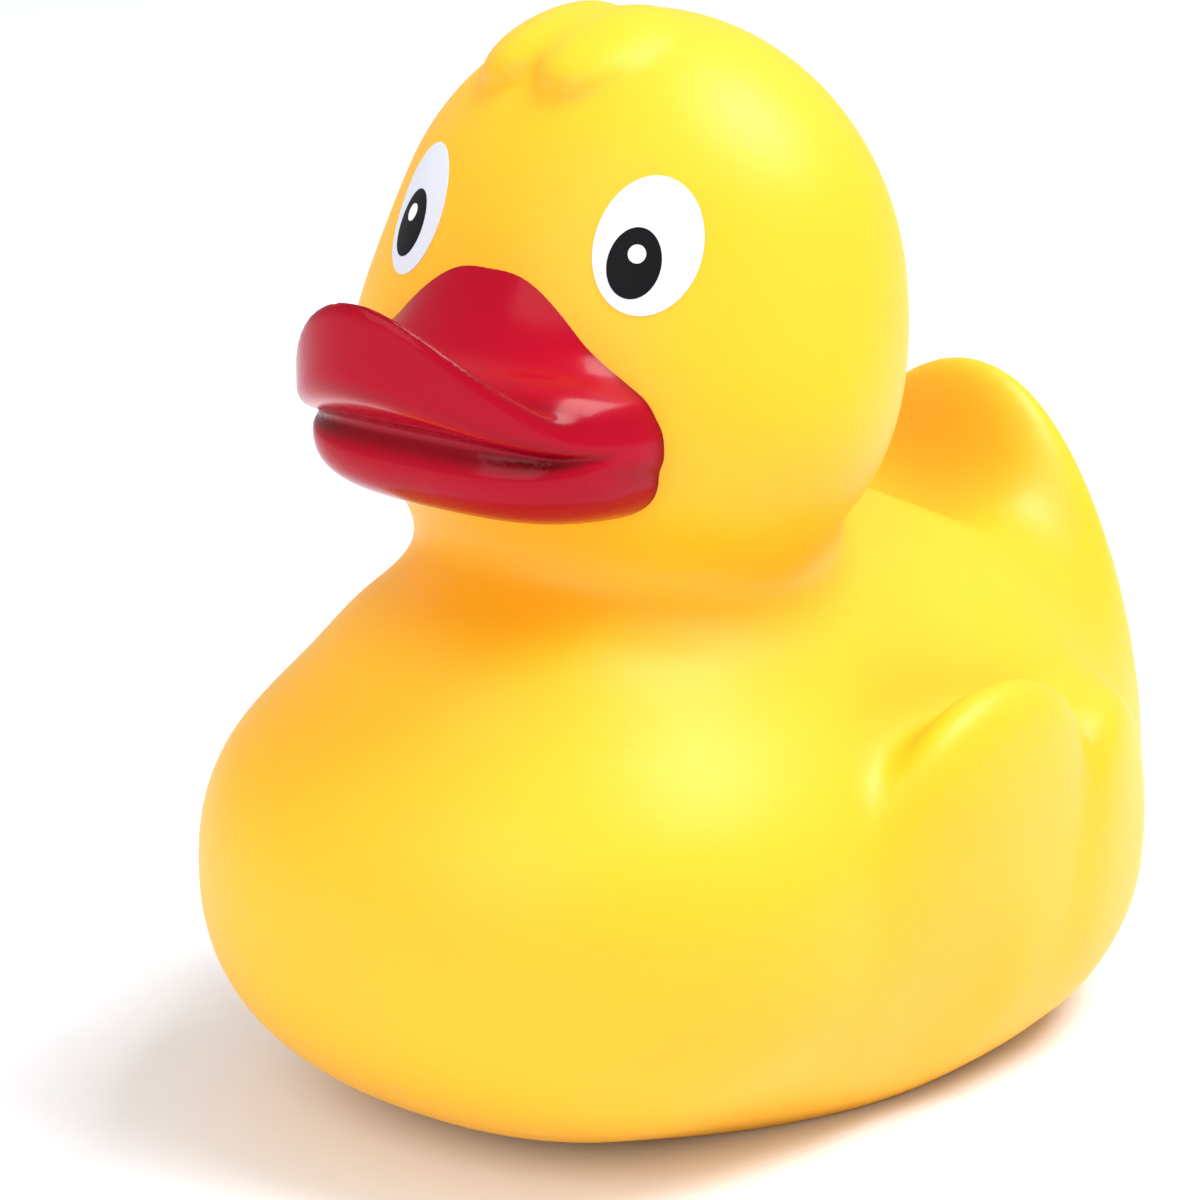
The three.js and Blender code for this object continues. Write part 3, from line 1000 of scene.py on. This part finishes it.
class PrintTree:
    """Geometry nodes that lay a flat patch on a surface as a thin closed film."""

    RINGS = 14
    SPOKES = 96
    HOVER = 10.0  # how far out the patch starts, in millimetres
    DROP = 25.0  # how far in it may fall
    WELD = 0.002  # corners closer than this become one

    def __init__(self) -> None:
        """Builds the tree and remembers its sockets."""
        self.tree = bpy.data.node_groups.new("printed_patch", "GeometryNodeTree")
        self.maker = NodeMaker(self.tree)
        self.ids: dict[str, str] = {}
        for name, kind in (
            ("Surface", "NodeSocketObject"),
            ("Centre", "NodeSocketVector"),
            ("Across", "NodeSocketVector"),
            ("Up", "NodeSocketVector"),
            ("Half Width", "NodeSocketFloat"),
            ("Half Height", "NodeSocketFloat"),
            ("Egg", "NodeSocketFloat"),
            ("Lift", "NodeSocketFloat"),
            ("Depth", "NodeSocketFloat"),
            ("Ink", "NodeSocketMaterial"),
        ):
            socket = self.tree.interface.new_socket(name, in_out="INPUT", socket_type=kind)
            self.ids[name] = socket.identifier
        self.tree.interface.new_socket(
            "Geometry", in_out="OUTPUT", socket_type="NodeSocketGeometry"
        )
        self._build()

    def _vector(self, operation: str, inputs: dict[int, Any], output: int = 0) -> Any:
        """Makes one Vector Math node and returns an output."""
        node = self.maker.add("ShaderNodeVectorMath", {"operation": operation}, inputs)
        return node.outputs[output]

    def _scaled(self, vector: Any, amount: Any) -> Any:
        """A vector times a number."""
        node = self.maker.add("ShaderNodeVectorMath", {"operation": "SCALE"}, {0: vector})
        set_input(self.maker, node, "Scale", amount)
        return node.outputs[0]

    def _build(self) -> None:
        """Lays out the nodes: a polar grid, its egg outline, the drop on to the surface, the film."""
        maker = self.maker
        given = maker.add("NodeGroupInput").outputs
        grid = maker.add(
            "GeometryNodeMeshGrid",
            None,
            {"Size X": 1.0, "Size Y": 1.0, "Vertices X": self.RINGS, "Vertices Y": self.SPOKES + 1},
        )
        position = maker.add("GeometryNodeInputPosition").outputs[0]
        place = maker.add("ShaderNodeSeparateXYZ", None, {0: position})
        ring = Flow(maker, place.outputs[0]) + 0.5
        turn = (Flow(maker, place.outputs[1]) + 0.5) * math.tau
        cos = maker.flow("ShaderNodeMath", {"operation": "COSINE"}, {0: turn})
        sin = maker.flow("ShaderNodeMath", {"operation": "SINE"}, {0: turn})
        up_share = ring * sin
        narrowing = 1 - up_share * Flow(maker, given["Egg"])
        across = ring * cos * narrowing * Flow(maker, given["Half Width"])
        up = up_share * Flow(maker, given["Half Height"])
        flat = self._vector(
            "ADD", {0: self._scaled(given["Across"], across), 1: self._scaled(given["Up"], up)}
        )
        facing = self._vector("CROSS_PRODUCT", {0: given["Across"], 1: given["Up"]})
        hover = self._vector("ADD", {0: given["Centre"], 1: self._scaled(facing, self.HOVER * MM)})
        start = self._vector("ADD", {0: flat, 1: hover})
        surface = maker.add(
            "GeometryNodeObjectInfo", {"transform_space": "ORIGINAL"}, {"Object": given["Surface"]}
        )
        ray = maker.add(
            "GeometryNodeRaycast",
            None,
            {
                "Target Geometry": surface.outputs["Geometry"],
                "Source Position": start,
                "Ray Direction": self._scaled(facing, -1.0),
                "Ray Length": self.DROP * MM,
            },
        )
        landed = maker.add(
            "GeometryNodeSetPosition",
            None,
            {"Geometry": grid.outputs["Mesh"], "Position": ray.outputs["Hit Position"]},
        )
        closed = maker.add(
            "GeometryNodeMergeByDistance",
            None,
            {"Geometry": landed.outputs[0], "Distance": self.WELD * MM},
        )
        buried = maker.add(
            "GeometryNodeSetPosition",
            None,
            {
                "Geometry": closed.outputs[0],
                "Offset": self._scaled(facing, Flow(maker, given["Depth"]) * -1.0),
            },
        )
        thickness = Flow(maker, given["Depth"]) + Flow(maker, given["Lift"])
        film = maker.add(
            "GeometryNodeExtrudeMesh",
            {"mode": "FACES"},
            {
                "Mesh": buried.outputs[0],
                "Offset": facing,
                "Offset Scale": thickness,
                "Individual": False,
            },
        )
        under = maker.add("GeometryNodeFlipFaces", None, {"Mesh": buried.outputs[0]})
        both = maker.add("GeometryNodeJoinGeometry")
        maker.tree.links.new(under.outputs[0], both.inputs[0])
        maker.tree.links.new(film.outputs["Mesh"], both.inputs[0])
        sealed = maker.add(
            "GeometryNodeMergeByDistance", None, {"Geometry": both.outputs[0], "Distance": self.WELD * MM}
        )
        real = maker.add("GeometryNodeRealizeInstances", None, {"Geometry": sealed.outputs[0]})
        inked = maker.add(
            "GeometryNodeSetMaterial",
            None,
            {"Geometry": real.outputs[0], "Material": given["Ink"]},
        )
        maker.add("NodeGroupOutput", None, {"Geometry": inked.outputs[0]})

    def lay(
        self,
        name: str,
        surface: bpy.types.Object,
        patch: Print,
        ink: bpy.types.Material,
        outward: Vector,
    ) -> bpy.types.Object:
        """Makes one patch as a plain mesh.

        Args:
            name: The piece's name.
            surface: What it is printed on.
            patch: Its place and outline.
            ink: Its material.
            outward: The way the surface faces there.

        Returns:
            The piece.
        """
        upright = Vector((0, 0, 1))
        across = upright.cross(outward).normalized()
        up = outward.cross(across).normalized()
        turned = Matrix.Rotation(math.radians(patch.lean), 3, outward)
        across, up = turned @ across, turned @ up
        made = bpy.data.objects.new(name, bpy.data.meshes.new(name))
        bpy.context.scene.collection.objects.link(made)
        modifier = made.modifiers.new("print", "NODES")
        modifier.node_group = self.tree
        values = {
            "Surface": surface,
            "Centre": [c * MM for c in patch.centre],
            "Across": list(across),
            "Up": list(up),
            "Half Width": patch.half_width * MM,
            "Half Height": patch.half_height * MM,
            "Egg": patch.egg,
            "Lift": patch.lift * MM,
            "Depth": patch.depth * MM,
            "Ink": ink,
        }
        for key, value in values.items():
            modifier[self.ids[key]] = value
        graph = bpy.context.evaluated_depsgraph_get()
        mesh = bpy.data.meshes.new_from_object(made.evaluated_get(graph))
        made.modifiers.clear()
        made.data = mesh
        mesh.name = name
        mesh.shade_smooth()
        mesh.set_sharp_from_angle(angle=math.radians(50))
        return made


@dataclass(frozen=True)
class Eye:
    """A printed eye: a white egg, a black pupil low and to the inside, and a glint."""

    side: Side
    white: Print
    pupil: Print
    glint: Print

    def build(
        self, tree: PrintTree, body: bpy.types.Object, shape: Field, inks: dict[str, Any]
    ) -> list[bpy.types.Object]:
        """Lays the three layers on the head.

        Args:
            tree: The geometry nodes that lay a patch.
            body: The yellow body.
            shape: The body's field, for the way it faces.
            inks: A material for each layer's name.

        Returns:
            The pieces.
        """
        made = []
        for patch in (self.white, self.pupil, self.glint):
            slope = gradient(shape, np.array([self.white.centre], float))[0]
            outward = Vector(slope).normalized()
            name = f"eye_{patch.part}_{self.side.value}"
            made.append(tree.lay(name, body, patch, inks[patch.part], outward))
        return made


def default_eyes() -> list[Eye]:
    """The two eyes at their places on the head."""
    left = Eye(
        Side.LEFT,
        Print("white", (12.84, -24.33, 78.46), 4.5, 5.9, 0.02, -12.0, 0.06),
        Print("pupil", (12.23, -25.38, 77.06), 2.25, 3.0, 0.02, -10.0, 0.10),
        Print("glint", (12.26, -25.03, 77.75), 0.75, 0.78, 0.0, 0.0, 0.14),
    )
    right = Eye(
        Side.RIGHT,
        Print("white", (-11.27, -25.13, 78.63), 4.1, 5.9, 0.02, 16.0, 0.06),
        Print("pupil", (-11.75, -25.51, 77.34), 2.25, 3.0, 0.02, 12.0, 0.10),
        Print("glint", (-11.92, -25.04, 78.1), 0.75, 0.78, 0.0, 0.0, 0.14),
    )
    return [left, right]


# ---------------------------------------------------------------- studio


@dataclass(frozen=True)
class SoftLight:
    """A square diffuser that points at the duck."""

    name: str
    azimuth: float
    elevation: float
    distance: float
    size: float
    watts: float
    colour: Triple = (1.0, 1.0, 1.0)

    def build(self, target: Vector) -> bpy.types.Object:
        """Hangs the light and turns it to the target."""
        data = bpy.data.lights.new(self.name, "AREA")
        data.shape = "SQUARE"
        data.size = self.size
        data.energy = self.watts
        data.color = self.colour
        lamp = bpy.data.objects.new(self.name, data)
        place = target + self.distance * direction(self.azimuth, self.elevation)
        lamp.location = place
        lamp.rotation_euler = (target - place).to_track_quat("-Z", "Y").to_euler()
        bpy.context.scene.collection.objects.link(lamp)
        return lamp


def direction(azimuth: float, elevation: float) -> Vector:
    """Which way lies an azimuth, where 0 is in front of the duck and 90 on its left."""
    a, e = math.radians(azimuth), math.radians(elevation)
    return Vector((math.sin(a) * math.cos(e), -math.cos(a) * math.cos(e), math.sin(e)))


@dataclass(frozen=True)
class Studio:
    """A white floor under soft lights, and the camera."""

    camera_azimuth: float = 39.0
    camera_elevation: float = 16.5
    camera_distance: float = 400.0
    camera_target: Triple = (-4.8, -8.74, 41.5)
    lens: float = 135.6
    floor_half: float = 6.0
    sky: float = 0.6
    aim_height: float = 0.045
    lights: tuple[SoftLight, ...] = (
        SoftLight("key", 125.0, 62.0, 0.9, 0.5, 11.0),
        SoftLight("fill", 5.0, 30.0, 1.0, 0.9, 6.0),
    )

    def build(self) -> None:
        """Sets out the floor, the lights, the sky and the camera."""
        self._floor()
        target = Vector((0, 0, self.aim_height))
        for light in self.lights:
            light.build(target)
        world = bpy.data.worlds.new("studio")
        world.use_nodes = True
        maker = NodeMaker(world.node_tree)
        sky = maker.add(
            "ShaderNodeBackground", None, {"Color": (1, 1, 1, 1), "Strength": self.sky}
        )
        white = maker.add("ShaderNodeBackground", None, {"Color": (1, 1, 1, 1), "Strength": 1.0})
        seen = maker.add("ShaderNodeLightPath").outputs["Is Camera Ray"]
        both = maker.add(
            "ShaderNodeMixShader", None, {0: seen, 1: sky.outputs[0], 2: white.outputs[0]}
        )
        maker.add("ShaderNodeOutputWorld", None, {"Surface": both.outputs[0]})
        scene = bpy.context.scene
        scene.world = world
        scene.view_settings.view_transform = "Standard"
        self._camera()

    def _floor(self) -> None:
        """Lays the floor."""
        half = self.floor_half
        mesh = bpy.data.meshes.new("floor")
        corners = [(-half, -half, 0), (half, -half, 0), (half, half, 0), (-half, half, 0)]
        mesh.from_pydata(corners, [], [(0, 1, 2, 3)])
        mesh.materials.append(FloorFinish().material())
        floor = bpy.data.objects.new("floor", mesh)
        bpy.context.scene.collection.objects.link(floor)

    def _camera(self) -> None:
        """Places the camera."""
        data = bpy.data.cameras.new("camera")
        data.lens = self.lens
        data.sensor_width = 36.0
        data.clip_end = 50.0
        camera = bpy.data.objects.new("camera", data)
        target = Vector(self.camera_target) * MM
        way = direction(self.camera_azimuth, self.camera_elevation)
        camera.location = target + way * self.camera_distance * MM
        camera.rotation_euler = (-way).to_track_quat("-Z", "Y").to_euler()
        bpy.context.scene.collection.objects.link(camera)
        bpy.context.scene.camera = camera


def dress(piece: bpy.types.Object, material: bpy.types.Material) -> None:
    """Gives a piece one material on its object's slot.

    Args:
        piece: The piece or the carried-over node.
        material: Its finish.
    """
    if not piece.material_slots:
        piece.data.materials.append(None)
    for slot in piece.material_slots:
        slot.link = "OBJECT"
        slot.material = material


def main() -> None:
    """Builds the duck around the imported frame, then the studio."""
    logging.basicConfig(level=logging.INFO, format="%(message)s")
    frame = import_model()

    casting = Casting()
    body = casting.build_body()
    dress(body, VinylFinish().material())
    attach(body, ROOT)
    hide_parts(BODY_NODE)
    log.info("%s: %d faces", body.name, len(body.data.polygons))

    beak = casting.build_beak()
    dress(beak, LacquerFinish().material())
    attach(beak, ROOT)
    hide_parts(BODY_NODE)
    log.info("%s: %d faces", beak.name, len(beak.data.polygons))

    inks = {
        "white": InkFinish("white_ink", (0.70, 0.72, 0.80, 1), (0.66, 0.68, 0.76, 1)).material(),
        "pupil": InkFinish(
            "black_ink", (0.004, 0.004, 0.005, 1), (0.006, 0.006, 0.007, 1), 0.3, 0.05
        ).material(),
        "glint": InkFinish("glint_ink", (0.92, 0.93, 0.95, 1), (0.86, 0.87, 0.9, 1)).material(),
    }
    tree = PrintTree()
    for eye in default_eyes():
        for piece in eye.build(tree, body, casting.skin, inks):
            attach(piece, ROOT)
            log.info("%s: %d faces", piece.name, len(piece.data.polygons))

    plastic = PlasticFinish("squeaker_plastic", (0.82, 0.82, 0.80, 1), (0.74, 0.74, 0.71, 1))
    film = PlasticFinish("reed_film", (0.70, 0.60, 0.38, 1), (0.62, 0.52, 0.31, 1), 0.4)
    white_plastic, reed_film = plastic.material(), film.material()
    dress(frame["nodes"]["squeaker_housing"], white_plastic)
    dress(frame["nodes"]["squeaker_cap"], white_plastic)
    dress(frame["nodes"]["squeaker_reed"], reed_film)

    Studio().build()


if __name__ == "__main__":
    main()
